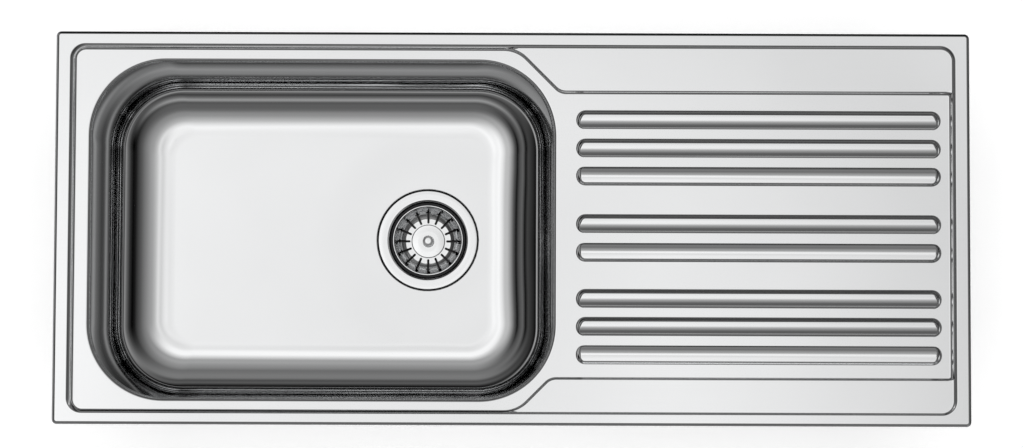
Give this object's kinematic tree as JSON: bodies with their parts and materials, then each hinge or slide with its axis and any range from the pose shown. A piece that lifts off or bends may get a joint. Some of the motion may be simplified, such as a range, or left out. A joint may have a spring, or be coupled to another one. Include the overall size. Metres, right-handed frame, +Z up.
{
  "type": "kitchen sink with drainboard",
  "caption": "Inset stainless-steel kitchen sink with a deep rounded bowl, a ribbed drainboard on its right, a basket waste, an overflow hose and swinging worktop clips.",
  "frame": {"origin": "centre of the sink's outline, on the plane of the worktop's top face, where the rim's lip rests", "axes": "+X runs from the bowl to the drainboard, +Y to the wall behind the tap ledge, +Z up"},
  "size_m": [1, 0.43, 0.27],
  "materials": {
    "brushed_steel": "satin stainless steel with a fine grain along the sink",
    "polished_steel": "polished stainless steel",
    "zinc_plate": "bright zinc plate, slightly blue",
    "black_rubber": "matt black rubber",
    "grey_foam": "closed-cell foam strip",
    "sound_pad": "matt grey sound-deadening sheet",
    "white_plastic": "moulded white polypropylene"
  },
  "bodies": {
    "sink": {"deck": "brushed_steel", "bowl": "brushed_steel", "edge_seal": "grey_foam", "bowl_pad": "sound_pad", "drainer_pad": "sound_pad", "rail_back": "brushed_steel", "rail_left": "brushed_steel", "rail_front": "brushed_steel", "rail_right": "brushed_steel", "clip_nut_1": "zinc_plate", "clip_screw_1": "zinc_plate", "clip_nut_2": "zinc_plate", "clip_screw_2": "zinc_plate", "clip_nut_3": "zinc_plate", "clip_screw_3": "zinc_plate", "clip_nut_4": "zinc_plate", "clip_screw_4": "zinc_plate", "clip_nut_5": "zinc_plate", "clip_screw_5": "zinc_plate", "clip_nut_6": "zinc_plate", "clip_screw_6": "zinc_plate", "clip_nut_7": "zinc_plate", "clip_screw_7": "zinc_plate", "clip_nut_8": "zinc_plate", "clip_screw_8": "zinc_plate", "waste_flange": "polished_steel", "flange_gasket": "black_rubber", "floor_gasket": "black_rubber", "waste_body": "white_plastic", "waste_screw": "polished_steel", "overflow_gasket": "black_rubber", "overflow_head": "white_plastic", "overflow_stud_1": "brushed_steel", "overflow_nut_1": "zinc_plate", "overflow_stud_2": "brushed_steel", "overflow_nut_2": "zinc_plate", "overflow_hose": "white_plastic", "hose_nut_upper": "white_plastic", "hose_nut_lower": "white_plastic"},
    "strainer": {"basket": "polished_steel", "basket_seal": "black_rubber", "basket_cap": "polished_steel", "basket_knob": "polished_steel"},
    "clip_1": {"clip_claw_1": "zinc_plate"},
    "clip_2": {"clip_claw_2": "zinc_plate"},
    "clip_3": {"clip_claw_3": "zinc_plate"},
    "clip_4": {"clip_claw_4": "zinc_plate"},
    "clip_5": {"clip_claw_5": "zinc_plate"},
    "clip_6": {"clip_claw_6": "zinc_plate"},
    "clip_7": {"clip_claw_7": "zinc_plate"},
    "clip_8": {"clip_claw_8": "zinc_plate"}
  },
  "joints": [
    {"name": "strainer_lift", "type": "slide", "parent": "sink", "child": "strainer", "axis": [0, 0, 1], "range_m": [0, 0.25]},
    {"name": "clip_1_swing", "type": "hinge", "parent": "sink", "child": "clip_1", "pos_m": [-0.36, 0.1984, -0.045], "axis": [0, 0, 1], "range_deg": [0, 90]},
    {"name": "clip_2_swing", "type": "hinge", "parent": "sink", "child": "clip_2", "pos_m": [0, 0.1984, -0.045], "axis": [0, 0, 1], "range_deg": [0, 90]},
    {"name": "clip_3_swing", "type": "hinge", "parent": "sink", "child": "clip_3", "pos_m": [0.36, 0.1984, -0.045], "axis": [0, 0, 1], "range_deg": [0, 90]},
    {"name": "clip_4_swing", "type": "hinge", "parent": "sink", "child": "clip_4", "pos_m": [-0.4834, 0, -0.045], "axis": [0, 0, 1], "range_deg": [0, 90]},
    {"name": "clip_5_swing", "type": "hinge", "parent": "sink", "child": "clip_5", "pos_m": [0.36, -0.1984, -0.045], "axis": [0, 0, 1], "range_deg": [0, 90]},
    {"name": "clip_6_swing", "type": "hinge", "parent": "sink", "child": "clip_6", "pos_m": [0, -0.1984, -0.045], "axis": [0, 0, 1], "range_deg": [0, 90]},
    {"name": "clip_7_swing", "type": "hinge", "parent": "sink", "child": "clip_7", "pos_m": [-0.36, -0.1984, -0.045], "axis": [0, 0, 1], "range_deg": [0, 90]},
    {"name": "clip_8_swing", "type": "hinge", "parent": "sink", "child": "clip_8", "pos_m": [0.4834, 0, -0.045], "axis": [0, 0, 1], "range_deg": [0, 90]}
  ]
}
